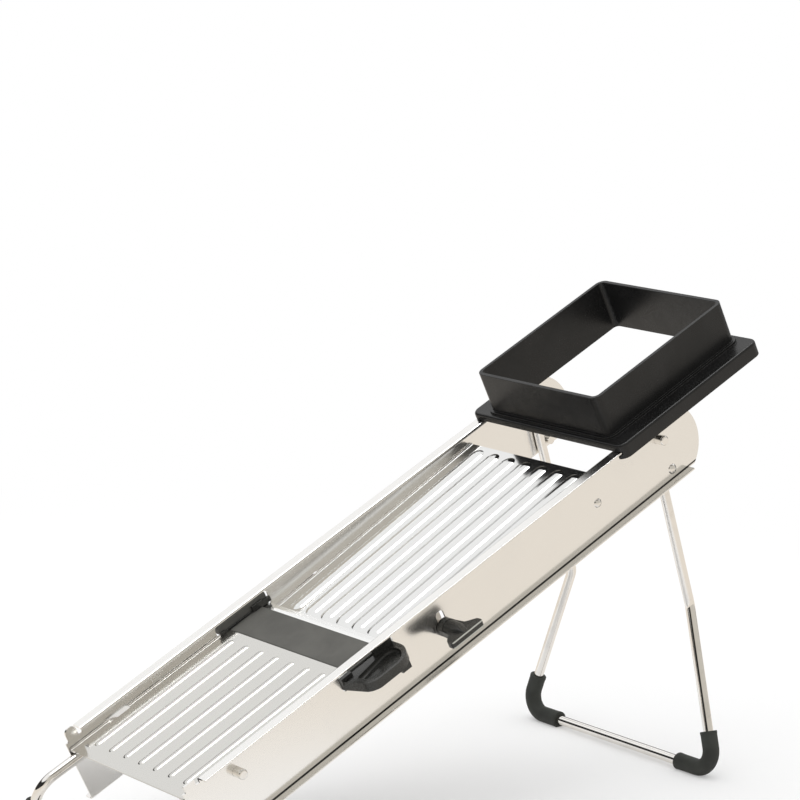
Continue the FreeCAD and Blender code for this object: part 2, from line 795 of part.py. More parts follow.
def food_carriage():
    """Open frame on a base with side skirts that hook under the rail flanges."""
    x0 = carriage_start
    x1 = carriage_start + carriage_length
    half = flange_edge + slide_gap + carriage_overhang
    base_low = slide_gap
    base_top = base_low + carriage_base
    hook_top = -rail_sheet - slide_gap
    hook_low = hook_top - carriage_hook_height
    body = block(x0, x1, half, carriage_corner, hook_low, base_top)
    body = softened(body, base_round, lambda edge: level_at(edge, base_top))
    inner = flange_edge + slide_gap
    body = body.cut(box(x0 - 1.0, x1 + 1.0, -inner, inner, hook_top, base_low))
    body = body.cut(box(x0 - 1.0, x1 + 1.0, -hook_mouth, hook_mouth, hook_low - 1.0, base_low))
    frame_half = half - frame_side_inset
    frame_x0 = x0 + frame_inset
    frame_x1 = x1 - frame_inset
    step = block(frame_x0 - step_width, frame_x1 + step_width, frame_half + step_width,
                 frame_corner + step_width, base_top - 1.0, base_top + step_height)
    step = softened(step, rim_round, lambda edge: level_at(edge, base_top + step_height))
    rim = base_top + frame_height
    walls = block(frame_x0, frame_x1, frame_half, frame_corner, base_low, rim)
    hollow = block(frame_x0 + frame_wall, frame_x1 - frame_wall, frame_half - frame_wall,
                   frame_corner - frame_wall, hook_low - 1.0, rim + 1.0)
    carriage = body.fuse(step).fuse(walls).cut(hollow).removeSplitter()
    return softened(carriage, rim_round, lambda edge: level_at(edge, rim))


# Assembly


def pieces():
    """Every piece by its node name, in the deck frame."""
    made = {
        "right_rail": rail(RIGHT),
        "left_rail": rail(LEFT),
        "run_out_plate": run_out_plate(),
        "front_cross_bar": cross_bar(front_bar_x),
        "middle_cross_bar": cross_bar(middle_bar_x),
        "run_in_plate": run_in_plate(),
        "front_bracket": front_bracket(),
        "rear_bracket": rear_bracket(),
        "hinge_rod": hinge_rod(),
        "clamp_rod": clamp_rod(),
        "clamp_washer": clamp_washer(),
        "wing_knob": wing_knob(),
        "clamp_end_cap": clamp_end_cap(),
        "blade": blade(),
        "blade_rivets": blade_rivets(),
        "blade_holder": blade_holder(),
        "holder_grip": holder_grip(),
        "front_leg": leg(front_leg_points, front_foot_bend),
        "rear_stand": leg(rear_stand_points, stand_foot_bend),
        "stop_rivets": stop_rivets(),
        "food_carriage": food_carriage(),
    }
    for side, hand in ((RIGHT, "right"), (LEFT, "left")):
        made["front_foot_" + hand] = foot(front_leg_points, front_foot_bend, side)
        made["rear_foot_" + hand] = foot(rear_stand_points, stand_foot_bend, side)
    return made


def stood_up(made):
    """Tilt the deck onto its feet and centre the whole over the origin."""
    for shape in made.values():
        shape.rotate(Vector(0, 0, 0), Vector(0, 1, 0), -deck_tilt)
        shape.translate(Vector(0, 0, front_height))
    limits = [shape.optimalBoundingBox(False, False) for shape in made.values()]
    middle = (min(b.XMin for b in limits) + max(b.XMax for b in limits)) / 2.0
    for shape in made.values():
        shape.translate(Vector(-middle, 0, 0))
    return middle


def main():
    os.makedirs("parts", exist_ok=True)
    made = pieces()
    middle = stood_up(made)
    for name, shape in made.items():
        shape.exportStep("parts/" + name + ".step")
    print("origin lies", round(middle, 3), "mm behind the rails' front end, at table height")


main()
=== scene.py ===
import json
import math

import bpy
from bpy.props import FloatProperty, FloatVectorProperty, PointerProperty
from bpy.types import Operator, Panel, PropertyGroup
from mathutils import Matrix, Vector


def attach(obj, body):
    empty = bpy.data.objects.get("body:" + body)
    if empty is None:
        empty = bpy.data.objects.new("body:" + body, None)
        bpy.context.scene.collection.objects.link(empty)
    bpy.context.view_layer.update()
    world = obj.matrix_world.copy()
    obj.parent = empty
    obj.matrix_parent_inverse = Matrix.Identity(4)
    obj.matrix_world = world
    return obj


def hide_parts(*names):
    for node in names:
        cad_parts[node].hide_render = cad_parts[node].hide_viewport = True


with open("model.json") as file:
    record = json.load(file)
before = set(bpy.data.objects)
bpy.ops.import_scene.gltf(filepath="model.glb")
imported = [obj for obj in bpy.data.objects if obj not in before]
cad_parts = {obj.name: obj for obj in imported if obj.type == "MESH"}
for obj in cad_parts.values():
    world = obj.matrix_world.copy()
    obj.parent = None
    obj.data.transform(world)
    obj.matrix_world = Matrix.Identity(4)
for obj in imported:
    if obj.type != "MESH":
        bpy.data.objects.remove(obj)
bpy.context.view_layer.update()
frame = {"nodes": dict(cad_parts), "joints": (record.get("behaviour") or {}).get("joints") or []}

bl_info = {
    "name": "Mandoline slicer",
    "version": (1, 0, 0),
    "blender": (4, 5, 0),
    "location": "View3D > Sidebar > Slicer",
    "description": "Moulded pieces, finishes and a plain stage around the slicer's packed frame",
    "category": "Object",
}

SIDES = {"right": -1.0, "left": 1.0}
ACROSS = Vector((0.0, 1.0, 0.0))
UP = Vector((0.0, 0.0, 1.0))
WHITE = (1.0, 1.0, 1.0, 1.0)

# Deck frame: x runs up the rails from their front end, y to the left, z square to the deck
FRONT_PIVOT_ON_DECK = Vector((0.034, 0.0, -0.0123))
LIP_TOP = -0.0408

# Tolerances and fineness of the modelling steps, angles in degrees
NEAR = 1e-5
DOUBLES = 1e-6
PARALLEL = 0.999
FACING = 0.9
FLAT = 0.5
CREASE = 38.0
ROUND_SIDES = 64
ELBOW_SIDES = 48
ELBOW_STEPS = 20

# Finishes and the effects they share, filled by the first operator
EFFECTS = {}
FINISHES = {}


def joint(name):
    return next(row for row in frame["joints"] if row["name"] == name)


def deck_place():
    """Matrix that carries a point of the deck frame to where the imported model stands."""
    along = Vector(joint("carriage_slide")["axis"]).normalized()
    turn = Matrix((along, ACROSS, along.cross(ACROSS))).transposed()
    pivot = Vector(joint("front_leg_fold")["pos_m"])
    return Matrix.Translation(pivot - turn @ FRONT_PIVOT_ON_DECK) @ turn.to_4x4()


DECK = deck_place()
DECK_TILT = math.asin(joint("carriage_slide")["axis"][2])


def deck_box(name):
    """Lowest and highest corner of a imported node, measured in the deck frame."""
    back = DECK.inverted()
    points = [back @ vertex.co for vertex in frame["nodes"][name].data.vertices]
    low = Vector([min(point[i] for point in points) for i in range(3)])
    high = Vector([max(point[i] for point in points) for i in range(3)])
    return low, high


# Sizes, colours and light that a user would change


def size(name, description, default):
    return FloatProperty(name=name, description=description, default=default,
                         min=0.0, unit="LENGTH", subtype="DISTANCE")


def colour(name, description, default):
    return FloatVectorProperty(name=name, description=description, default=default,
                               size=3, min=0.0, max=1.0, subtype="COLOR")


def amount(name, description, default):
    return FloatProperty(name=name, description=description, default=default, min=0.0)


class SlicerSizes(PropertyGroup):
    base_low: size("Base underside", "Underside of the carriage base above the rails", 0.0004)
    base_top: size("Base top", "Top of the carriage base above the rails", 0.0046)
    base_corner: size("Base corner", "Corner radius of the carriage base", 0.006)
    base_round: size("Base edge", "Rounding of the base's upper edge", 0.0016)
    frame_end: size("Frame end inset", "Base end to food frame", 0.0048)
    frame_side: size("Frame side inset", "Base side to food frame", 0.0137)
    frame_wall: size("Frame wall", "Wall of the food frame", 0.0024)
    frame_corner: size("Frame corner", "Corner radius of the food frame", 0.0055)
    step_width: size("Step width", "Ledge round the foot of the food frame", 0.002)
    step_height: size("Step height", "Height of that ledge", 0.0015)
    carriage_edge: size("Carriage edges", "Rounding of the carriage's edges", 0.0006)
    channel_half: size("Channel half width", "Half width of the carriage over the flanges", 0.0656)
    mouth_half: size("Mouth half width", "Half width between the carriage's hooks", 0.0626)
    hook_top: size("Hook top", "Top of the hooks below the rail tops", 0.0016)
    holder_top: size("Holder top", "Top of the blade holder below the rail tops", 0.0074)
    holder_lead: size("Holder lead", "Holder's front edge ahead of the blade", 0.0118)
    holder_length: size("Holder length", "Holder along the rails", 0.0263)
    blade_thickness: size("Blade thickness", "Thickness of the blade with its slack", 0.0011)
    holder_edge: size("Holder edges", "Rounding of the blade holder's edges", 0.0005)
    grip_top: size("Grip top", "Top of the grip below the rail tops", 0.0077)
    grip_height: size("Grip height", "Thickness of the grip", 0.0056)
    grip_slant: size("Grip slant", "Run of the grip's slanted front end", 0.0053)
    grip_front_round: size("Grip front corner", "Cut of the grip's outer front corner", 0.0063)
    grip_rear_round: size("Grip rear corner", "Radius of the grip's outer rear corner", 0.0145)
    grip_rim: size("Grip rim", "Rim outside the thumb hollow", 0.0018)
    grip_end_rim: size("Grip end rim", "Rim before and behind the thumb hollow", 0.0038)
    hollow_front: size("Hollow front", "Rail to the narrow front of the thumb hollow", 0.0078)
    hollow_rear: size("Hollow rear", "Rail to the wide rear of the thumb hollow", 0.0024)
    grip_hollow: size("Hollow depth", "Depth of the thumb hollow", 0.0028)
    grip_edge: size("Grip edges", "Rounding of the grip's edges", 0.0007)
    collar_length: size("Collar length", "Collar of the wing knob", 0.0035)
    collar_dia: size("Collar diameter", "Collar of the wing knob", 0.011)
    wing_span: size("Wing span", "Width of the knob's wing", 0.024)
    wing_thickness: size("Wing thickness", "Thickness of the knob's wing", 0.0036)
    elbow_dia: size("Elbow diameter", "Outside of the rubber elbows", 0.010)
    rod_dia: size("Rod diameter", "Wire of both legs", 0.006)
    elbow_up: size("Elbow reach up", "Elbow beyond its bend, up the leg", 0.0096)
    elbow_across: size("Elbow reach across", "Elbow beyond its bend, along the floor", 0.0156)


class SlicerFinishes(PropertyGroup):
    rail: colour("Rail steel", "Rolled sheet of the rails", (0.90, 0.89, 0.87))
    run_out: colour("Run-out steel", "Satin sheet of the run-out plate", (0.68, 0.67, 0.64))
    run_in: colour("Run-in steel", "Polished sheet of the run-in plate", (0.82, 0.82, 0.81))
    bracket: colour("Bracket steel", "Plain sheet under the plates", (0.62, 0.60, 0.57))
    chrome: colour("Chrome", "Plated wire, rods and rivets", (0.87, 0.85, 0.82))
    washer: colour("Washer", "Blackened steel", (0.06, 0.06, 0.06))
    blade: colour("Blade steel", "Ground blade", (0.93, 0.93, 0.92))
    holder: colour("Holder plastic", "Dark grey moulding", (0.098, 0.096, 0.087))
    grip: colour("Grip plastic", "Black moulding", (0.020, 0.020, 0.018))
    carriage: colour("Carriage plastic", "Satin black moulding", (0.008, 0.008, 0.008))
    rubber: colour("Foot rubber", "Matte rubber", (0.030, 0.032, 0.028))
    floor: colour("Floor", "Plain pale floor", (0.95, 0.95, 0.95))


class SlicerLight(PropertyGroup):
    ambient: amount("Ambient", "Even light from all round", 0.90)
    softbox: amount("Softbox power", "Power of the large lamp overhead", 7.0)
    softbox_width: size("Softbox width", "Edge of the large lamp overhead", 1.3)
    softbox_height: size("Softbox height", "Lamp above the floor", 1.5)
    dark_strip: amount("Dark strip", "Brightness of the low strip that polished rods mirror", 0.03)
    near_wall: amount("Near wall", "Brightness of the room behind the camera", 0.62)
    near_ceiling: amount("Near ceiling", "Brightness above the camera", 0.15)
    key: amount("Overhead key", "Brightness of the overhead panel that edges and ribs mirror", 5.0)
    near_tint: colour("Room colour", "Colour of the room behind the camera", (1.0, 0.95, 0.86))
    warm_floor: colour("Mirrored floor", "Colour of the floor in polished metal", (0.87, 0.81, 0.73))
    lens: FloatProperty(name="Lens", description="Focal length of the camera",
                        default=137.56, min=1.0, subtype="DISTANCE_CAMERA")


# Modelling steps shared by the pieces


def let_go():
    """Back to object mode with nothing selected."""
    if bpy.context.object and bpy.context.object.mode != "OBJECT":
        bpy.ops.object.mode_set(mode="OBJECT")
    bpy.ops.object.select_all(action="DESELECT")


def take(piece):
    """Select a piece alone and make it the active one."""
    let_go()
    bpy.context.view_layer.objects.active = piece
    piece.select_set(True)


def settle(piece, name):
    """Name a new primitive and put its place, turn and scale in its mesh."""
    piece.name = name
    bpy.ops.object.transform_apply(location=True, rotation=True, scale=True)
    return piece


def pointing(direction):
    """Turn that points a primitive's axis along a direction."""
    return direction.to_track_quat("Z", "Y").to_euler()


def block(name, low, high):
    """Box between two corners."""
    let_go()
    low, high = Vector(low), Vector(high)
    bpy.ops.mesh.primitive_cube_add(size=1.0, location=(low + high) / 2.0)
    bpy.context.object.scale = high - low
    return settle(bpy.context.object, name)


def bar(name, start, end, radius, end_radius):
    """Round bar or cone between two points."""
    let_go()
    start, end = Vector(start), Vector(end)
    run = end - start
    bpy.ops.mesh.primitive_cone_add(vertices=ROUND_SIDES, radius1=radius, radius2=end_radius,
                                    depth=run.length, location=(start + end) / 2.0,
                                    rotation=pointing(run))
    return settle(bpy.context.object, name)


def choose(piece, kind, wanted):
    """Edit mode with the edges or faces of a piece that pass a test."""
    take(piece)
    bpy.ops.object.mode_set(mode="EDIT")
    bpy.ops.mesh.select_mode(type=kind)
    bpy.ops.mesh.select_all(action="DESELECT")
    bpy.ops.object.mode_set(mode="OBJECT")
    for part in piece.data.edges if kind == "EDGE" else piece.data.polygons:
        part.select = wanted(part)
    bpy.ops.object.mode_set(mode="EDIT")


def choose_all(piece, kind):
    choose(piece, kind, lambda part: True)


def choose_side(piece, direction):
    """Edit mode with the faces of a piece that look along a direction."""
    choose(piece, "FACE", lambda face: face.normal.dot(direction) > FACING)


def edge_ends(piece, edge):
    return [piece.data.vertices[i].co for i in edge.vertices]


def choose_along(piece, axis, where=None):
    """Edit mode with the edges along one axis, all of them or those whose middle passes a test."""
    def wanted(edge):
        first, second = edge_ends(piece, edge)
        run = second - first
        straight = abs(run[axis]) > PARALLEL * run.length
        return straight and (where is None or where((first + second) / 2.0))
    choose(piece, "EDGE", wanted)


def choose_upright(piece, x, y):
    """Edit mode with the upright edge of a piece that stands at x, y."""
    choose_along(piece, 2, lambda middle: math.hypot(middle.x - x, middle.y - y) < NEAR)


def bevel(radius, segments):
    """Round the chosen edges and leave edit mode."""
    bpy.ops.mesh.bevel(offset=radius, offset_type="OFFSET", segments=segments, affect="EDGES")
    let_go()


def round_edges(piece, axis, radius, segments=8, where=None):
    choose_along(piece, axis, where)
    bevel(radius, segments)


def round_upright(piece, x, y, radius):
    choose_upright(piece, x, y)
    bevel(radius, segments=12)


def shift_upright(piece, x, y, move):
    choose_upright(piece, x, y)
    bpy.ops.transform.translate(value=move)
    let_go()


def draw_out(move, centre, factors):
    """Extrude the chosen face along a move, then widen or narrow it about its new centre."""
    bpy.ops.mesh.extrude_region_move(TRANSFORM_OT_translate={"value": move})
    bpy.ops.transform.resize(value=factors, center_override=centre)


def combine(piece, other, operation="UNION"):
    """Join another solid to a piece, or cut it away."""
    take(piece)
    step = piece.modifiers.new("combine", "BOOLEAN")
    step.operation = operation
    step.object = other
    step.solver = "EXACT"
    bpy.ops.object.modifier_apply(modifier=step.name)
    bpy.data.objects.remove(other)


def cut(piece, other):
    combine(piece, other, "DIFFERENCE")


def clean(piece):
    """Merge doubles, drop needless edges and turn the faces outwards."""
    take(piece)
    bpy.ops.object.mode_set(mode="EDIT")
    bpy.ops.mesh.select_all(action="SELECT")
    bpy.ops.mesh.remove_doubles(threshold=DOUBLES)
    bpy.ops.mesh.dissolve_limited(angle_limit=math.radians(FLAT))
    bpy.ops.mesh.normals_make_consistent(inside=False)
    let_go()


def round_sharp(piece, width, segments, angle):
    """Bevel the edges that turn by more than an angle."""
    take(piece)
    step = piece.modifiers.new("soften", "BEVEL")
    step.width = width
    step.segments = segments
    step.limit_method = "ANGLE"
    step.angle_limit = math.radians(angle)
    bpy.ops.object.modifier_apply(modifier=step.name)


def smooth(piece, angle):
    """Shade a piece smooth up to an angle, its large faces kept flat."""
    take(piece)
    bpy.ops.object.shade_smooth_by_angle(angle=math.radians(angle))
    step = piece.modifiers.new("faces", "WEIGHTED_NORMAL")
    step.keep_sharp = True
    bpy.ops.object.modifier_apply(modifier=step.name)


def soften(piece, width, segments=3, angle=CREASE):
    """Round the sharp edges of a moulding and shade it smooth."""
    clean(piece)
    round_sharp(piece, width, segments, angle)
    smooth(piece, angle)


def set_down(piece):
    """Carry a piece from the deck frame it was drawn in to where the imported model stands."""
    take(piece)
    piece.matrix_world = DECK
    bpy.ops.object.transform_apply(location=True, rotation=True, scale=True)


def dress(piece, body, slot, finish, *nodes):
    """Tie a piece to its body and finish, in place of the nodes it stands for; the slot argument is not
    used.
    """
    piece.data.materials.clear()
    piece.data.materials.append(FINISHES[finish])
    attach(piece, body)
    if nodes:
        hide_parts(*nodes)


# Shader steps shared by the finishes and the stage

# Sockets of a Mix node set to colours
MIX_FACTOR = 0
MIX_COLOURS = slice(6, 8)
MIX_RESULT = 2

# Middle range of a noise, and the whole range of a mask
NOISE_MIDDLE = (0.3, 0.7)
WHOLE = (0.0, 1.0)


def feed(tree, socket, value):
    """Link a socket to another node's output, or set it to a plain value."""
    if isinstance(value, bpy.types.NodeSocket):
        tree.links.new(value, socket)
    else:
        socket.default_value = value


def node(tree, kind, settings=None, **inputs):
    made = tree.nodes.new(kind)
    for label, value in (settings or {}).items():
        setattr(made, label, value)
    for label, value in inputs.items():
        feed(tree, made.inputs[label.replace("_", " ")], value)
    return made


def ranged(tree, value, span, start, end):
    """Value that goes smoothly from start to end over a span."""
    made = node(tree, "ShaderNodeMapRange", {"interpolation_type": "SMOOTHSTEP"}, Value=value,
                From_Min=span[0], From_Max=span[1], To_Min=start, To_Max=end)
    return made.outputs["Result"]


def rising(tree, value, span):
    return ranged(tree, value, span, 0.0, 1.0)


def falling(tree, value, span):
    return ranged(tree, value, span, 1.0, 0.0)


def maths(tree, operation, *values):
    made = node(tree, "ShaderNodeMath", {"operation": operation})
    for socket, value in zip(made.inputs, values):
        feed(tree, socket, value)
    return made.outputs["Value"]


def product(tree, first, *others):
    for other in others:
        first = maths(tree, "MULTIPLY", first, other)
    return first


def vector_maths(tree, operation, first, second):
    made = node(tree, "ShaderNodeVectorMath", {"operation": operation})
    feed(tree, made.inputs[0], first)
    feed(tree, made.inputs[1], second)
    return made.outputs


def split(tree, place):
    return node(tree, "ShaderNodeSeparateXYZ", Vector=place).outputs


def noise(tree, place, scale, detail, roughness=0.5):
    made = node(tree, "ShaderNodeTexNoise", Vector=place, Scale=scale, Detail=detail,
                Roughness=roughness)
    return made.outputs[0]


def between(tree, factor, first, second):
    """Colour between two others."""
    made = node(tree, "ShaderNodeMix", {"data_type": "RGBA"})
    feed(tree, made.inputs[MIX_FACTOR], factor)
    for socket, value in zip(made.inputs[MIX_COLOURS], (first, second)):
        feed(tree, socket, value)
    return made.outputs[MIX_RESULT]


def either(tree, factor, first, second):
    """Shader between two others."""
    made = tree.nodes.new("ShaderNodeMixShader")
    for socket, value in zip(made.inputs, (factor, first, second)):
        feed(tree, socket, value)
    return made.outputs["Shader"]


def shaded(base, factor=1.0):
    return tuple(min(1.0, channel * factor) for channel in base) + (1.0,)


def object_coordinates(tree):
    return tree.nodes.new("ShaderNodeTexCoord").outputs["Object"]


def deck_coordinates(tree):
    """Object coordinates turned level with the deck."""
    made = node(tree, "ShaderNodeMapping", Vector=object_coordinates(tree),
                Rotation=(0.0, DECK_TILT, 0.0))
    return made.outputs["Vector"]


# Effects that several finishes share


def effect(name, inputs, outputs):
    """New shader group with number sockets, and its input and output nodes."""
    group = bpy.data.node_groups.new(name, "ShaderNodeTree")
    for label, default in inputs.items():
        socket = group.interface.new_socket(name=label, in_out="INPUT", socket_type="NodeSocketFloat")
        socket.default_value = default
    for label in outputs:
        group.interface.new_socket(name=label, in_out="OUTPUT", socket_type="NodeSocketFloat")
    return group, group.nodes.new("NodeGroupInput").outputs, group.nodes.new("NodeGroupOutput").inputs


def rolled_grain():
    """Fine lines that the rolling mill leaves along the sheet."""
    tree, given, result = effect("Rolled grain", {"Along": 20.0, "Across": 2200.0}, ("Grain",))
    stretch = node(tree, "ShaderNodeCombineXYZ", X=given["Along"], Y=given["Across"], Z=given["Across"])
    drawn = vector_maths(tree, "MULTIPLY", deck_coordinates(tree), stretch.outputs["Vector"])["Vector"]
    feed(tree, result["Grain"], noise(tree, drawn, scale=1.0, detail=4.0, roughness=0.65))
    return tree


def handling_marks():
    """Faint patches where the metal or plastic has been wiped and touched."""
    tree, given, result = effect("Handling marks", {"Patch": 28.0, "Streak": 220.0}, ("Marks",))
    place = deck_coordinates(tree)
    patches = noise(tree, place, given["Patch"], detail=3.0, roughness=0.55)
    streaks = noise(tree, place, given["Streak"], detail=2.0, roughness=0.6)
    patch = rising(tree, patches, span=(0.46, 0.72))
    streak = ranged(tree, streaks, span=(0.35, 0.65), start=0.5, end=1.0)
    feed(tree, result["Marks"], product(tree, patch, streak))
    return tree


def moulded_skin():
    """Fine spark-eroded skin of a moulding, with slow changes of gloss."""
    tree, given, result = effect("Moulded skin", {"Fineness": 2600.0, "Flow": 45.0},
                                 ("Speckle", "Mottle"))
    place = deck_coordinates(tree)
    feed(tree, result["Speckle"], noise(tree, place, given["Fineness"], detail=2.0, roughness=0.6))
    feed(tree, result["Mottle"], noise(tree, place, given["Flow"], detail=4.0, roughness=0.55))
    return tree


def place_effect(tree, name, **inputs):
    made = tree.nodes.new("ShaderNodeGroup")
    made.node_tree = EFFECTS[name]
    for label, value in inputs.items():
        made.inputs[label].default_value = value
    return made.outputs


# Finishes


def new_finish(name):
    finish = bpy.data.materials.new(name)
    finish.use_nodes = True
    return finish, finish.node_tree, finish.node_tree.nodes["Principled BSDF"]


def raised(tree, shader, height, strength, distance):
    bump = node(tree, "ShaderNodeBump", Height=height, Strength=strength, Distance=distance)
    feed(tree, shader.inputs["Normal"], bump.outputs["Normal"])


def fold_shade_mask(tree):
    """Mask of the painted shade along the fold between a rail's wall and its lip."""
    inner_edge = (0.0577, 0.0580)
    outer_edge = (0.0587, 0.0592)
    lower_edge = (-0.0005, -0.0002)
    upper_edge = (0.0004, 0.0009)
    part = split(tree, deck_coordinates(tree))
    side = maths(tree, "ABSOLUTE", part["Y"])
    above = maths(tree, "SUBTRACT", part["Z"], LIP_TOP - DECK.inverted().translation.z)
    return product(tree, rising(tree, side, inner_edge), falling(tree, side, outer_edge),
                   rising(tree, above, lower_edge), falling(tree, above, upper_edge))


def painted_wing_highlight(tree):
    """Mask of the painted highlight along the edges at the end of the knob's wing."""
    full, faint = 0.0004, 0.0007
    low, high = deck_box("wing_knob")
    half = bpy.context.scene.slicer_sizes.wing_thickness / 2.0
    part = split(tree, deck_coordinates(tree))
    level = (low.z + high.z) / 2.0 - DECK.inverted().translation.z
    off = maths(tree, "ABSOLUTE", maths(tree, "SUBTRACT", part["Z"], level))
    return product(tree, rising(tree, off, (half - faint, half - full)),
                   falling(tree, part["Y"], (low.y + full, low.y + faint)))


def sheet_steel(name, base, gloss, fineness, depth=0.00001, marks_gain=0.10, fold_shaded=False):
    """Rolled stainless sheet: grain along the deck, duller patches, and painted shade darkening its fold.
    """
    dark_grain, pale_grain, fold_shade_tone = 0.975, 1.02, 0.06
    grain_haze = 0.03
    finish, tree, shader = new_finish(name)
    grain = place_effect(tree, "grain", Along=16.0, Across=fineness)["Grain"]
    marks = place_effect(tree, "marks", Patch=26.0, Streak=240.0)["Marks"]
    skin = between(tree, grain, shaded(base, dark_grain), shaded(base, pale_grain))
    # Painted shade: the base colour is darkened along the fold where the wall meets the lip.
    if fold_shaded:
        skin = between(tree, fold_shade_mask(tree), skin, shaded(base, fold_shade_tone))
    feed(tree, shader.inputs["Base Color"], skin)
    rough = ranged(tree, grain, NOISE_MIDDLE, gloss, gloss + grain_haze)
    rough = maths(tree, "ADD", rough, product(tree, marks, marks_gain))
    feed(tree, shader.inputs["Roughness"], rough)
    shader.inputs["Metallic"].default_value = 1.0
    raised(tree, shader, grain, strength=0.04, distance=depth)
    return finish


def plated_wire(name, base, gloss):
    """Bright plating with a little haze where it is handled."""
    dull, haze = 0.9, 0.09
    finish, tree, shader = new_finish(name)
    marks = place_effect(tree, "marks", Patch=60.0, Streak=500.0)["Marks"]
    feed(tree, shader.inputs["Base Color"], between(tree, marks, shaded(base), shaded(base, dull)))
    feed(tree, shader.inputs["Roughness"], ranged(tree, marks, WHOLE, gloss, gloss + haze))
    shader.inputs["Metallic"].default_value = 1.0
    return finish


def moulding(name, base, gloss, fineness, depth=0.00002, sheen=0.5, wear=1.35, highlight_mask=None):
    """Moulded plastic or rubber: speckled skin, slow changes of gloss, and a painted highlight on the
    edges a mask picks.
    """
    dark, highlight_tone = 0.86, 22.0
    smoother, rougher, marks_gain = 0.04, 0.05, 0.08
    finish, tree, shader = new_finish(name)
    skin = place_effect(tree, "skin", Fineness=fineness, Flow=48.0)
    marks = place_effect(tree, "marks", Patch=40.0, Streak=380.0)["Marks"]
    mottle = rising(tree, skin["Mottle"], NOISE_MIDDLE)
    tone = between(tree, mottle, shaded(base, dark), shaded(base, wear))
    # Painted highlight: the edges the mask picks are lightened in the base colour.
    if highlight_mask:
        tone = between(tree, highlight_mask(tree), tone, shaded(base, highlight_tone))
    feed(tree, shader.inputs["Base Color"], tone)
    rough = ranged(tree, skin["Speckle"], NOISE_MIDDLE, gloss - smoother, gloss + rougher)
    rough = maths(tree, "ADD", rough, product(tree, marks, marks_gain))
    feed(tree, shader.inputs["Roughness"], rough)
    shader.inputs["Specular IOR Level"].default_value = sheen
    raised(tree, shader, skin["Speckle"], strength=0.25, distance=depth)
    return finish


STEEL_NODES = {
    "rail": ("right_rail", "left_rail"),
    "run_out": ("run_out_plate",),
    "run_in": ("run_in_plate",),
    "bracket": ("front_cross_bar", "middle_cross_bar", "front_bracket", "rear_bracket"),
    "chrome": ("front_leg", "rear_stand", "clamp_rod"),
    "washer": ("clamp_washer",),
    "rivet": ("hinge_rod", "stop_rivets", "blade_rivets"),
    "blade": ("blade",),
}


class SLICER_OT_finishes(Operator):
    """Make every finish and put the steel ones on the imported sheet, wire and blade"""
    bl_idname = "slicer.finishes"
    bl_label = "Finishes"

    def execute(self, context):
        c = context.scene.slicer_finishes
        EFFECTS.update(grain=rolled_grain(), marks=handling_marks(), skin=moulded_skin())
        FINISHES.update(
            rail=sheet_steel("rail_steel_rolled", c.rail, gloss=0.17, fineness=2400.0,
                             depth=0.00002, fold_shaded=True),
            run_out=sheet_steel("run_out_steel_satin", c.run_out, gloss=0.13, fineness=2600.0,
                                marks_gain=0.04),
            run_in=sheet_steel("run_in_steel_polished", c.run_in, gloss=0.09, fineness=2600.0,
                               marks_gain=0.03),
            bracket=sheet_steel("bracket_steel_plain", c.bracket, gloss=0.32, fineness=2000.0,
                                depth=0.00003),
            blade=sheet_steel("blade_steel_ground", c.blade, gloss=0.16, fineness=3200.0,
                              marks_gain=0.04),
            chrome=plated_wire("leg_chrome", c.chrome, gloss=0.04),
            rivet=plated_wire("rivet_polish", c.chrome, gloss=0.12),
            washer=plated_wire("washer_blackened", c.washer, gloss=0.28),
            holder=moulding("holder_grey_moulding", c.holder, gloss=0.52, fineness=2600.0,
                            depth=0.00003, sheen=0.25, wear=1.1),
            grip=moulding("grip_black_moulding", c.grip, gloss=0.26, fineness=2400.0),
            # The ends of the knob's wing carry a painted highlight.
            knob=moulding("knob_black_moulding", c.grip, gloss=0.26, fineness=2400.0,
                          highlight_mask=painted_wing_highlight),
            carriage=moulding("carriage_satin_black", c.carriage, gloss=0.30, fineness=2200.0,
                              sheen=0.36),
            rubber=moulding("foot_rubber_matte", c.rubber, gloss=0.62, fineness=1800.0,
                            depth=0.00006, sheen=0.3),
        )
        for finish, names in STEEL_NODES.items():
            for name in names:
                for slot in frame["nodes"][name].material_slots:
                    slot.material = FINISHES[finish]
        return {"FINISHED"}


# Moulded pieces


class SLICER_OT_carriage(Operator):
    """Open food frame on a base whose skirts hook under the rail flanges"""
    bl_idname = "slicer.carriage"
    bl_label = "Food carriage"

    def execute(self, context):
        s = context.scene.slicer_sizes
        low, high = deck_box("food_carriage")
        over = 0.002
        piece = block("carriage_moulding", low, (high.x, high.y, s.base_top))
        round_edges(piece, 2, s.base_corner)
        choose_side(piece, UP)
        bpy.ops.mesh.region_to_loop()
        bevel(s.base_round, segments=5)
        frame_low = Vector((low.x + s.frame_end, low.y + s.frame_side, s.base_low))
        frame_high = Vector((high.x - s.frame_end, high.y - s.frame_side, high.z))
        ledge = Vector((s.step_width, s.step_width, 0.0))
        step_high = Vector((frame_high.x, frame_high.y, s.base_top + s.step_height))
        step = block("step", frame_low - ledge, step_high + ledge)
        round_edges(step, 2, s.frame_corner + s.step_width)
        combine(piece, step)
        walls = block("walls", frame_low, frame_high)
        round_edges(walls, 2, s.frame_corner)
        combine(piece, walls)
        wall = Vector((s.frame_wall, s.frame_wall, 0.0))
        hollow_low = Vector((frame_low.x, frame_low.y, low.z - over)) + wall
        hollow_high = Vector((frame_high.x, frame_high.y, high.z + over)) - wall
        hollow = block("hollow", hollow_low, hollow_high)
        round_edges(hollow, 2, s.frame_corner - s.frame_wall)
        cut(piece, hollow)
        cut(piece, block("channel", (low.x - over, -s.channel_half, -s.hook_top),
                         (high.x + over, s.channel_half, s.base_low)))
        cut(piece, block("mouth", (low.x - over, -s.mouth_half, low.z - over),
                         (high.x + over, s.mouth_half, s.base_low)))
        soften(piece, s.carriage_edge)
        set_down(piece)
        dress(piece, "carriage", "carriage_plastic", "carriage", "food_carriage")
        return {"FINISHED"}


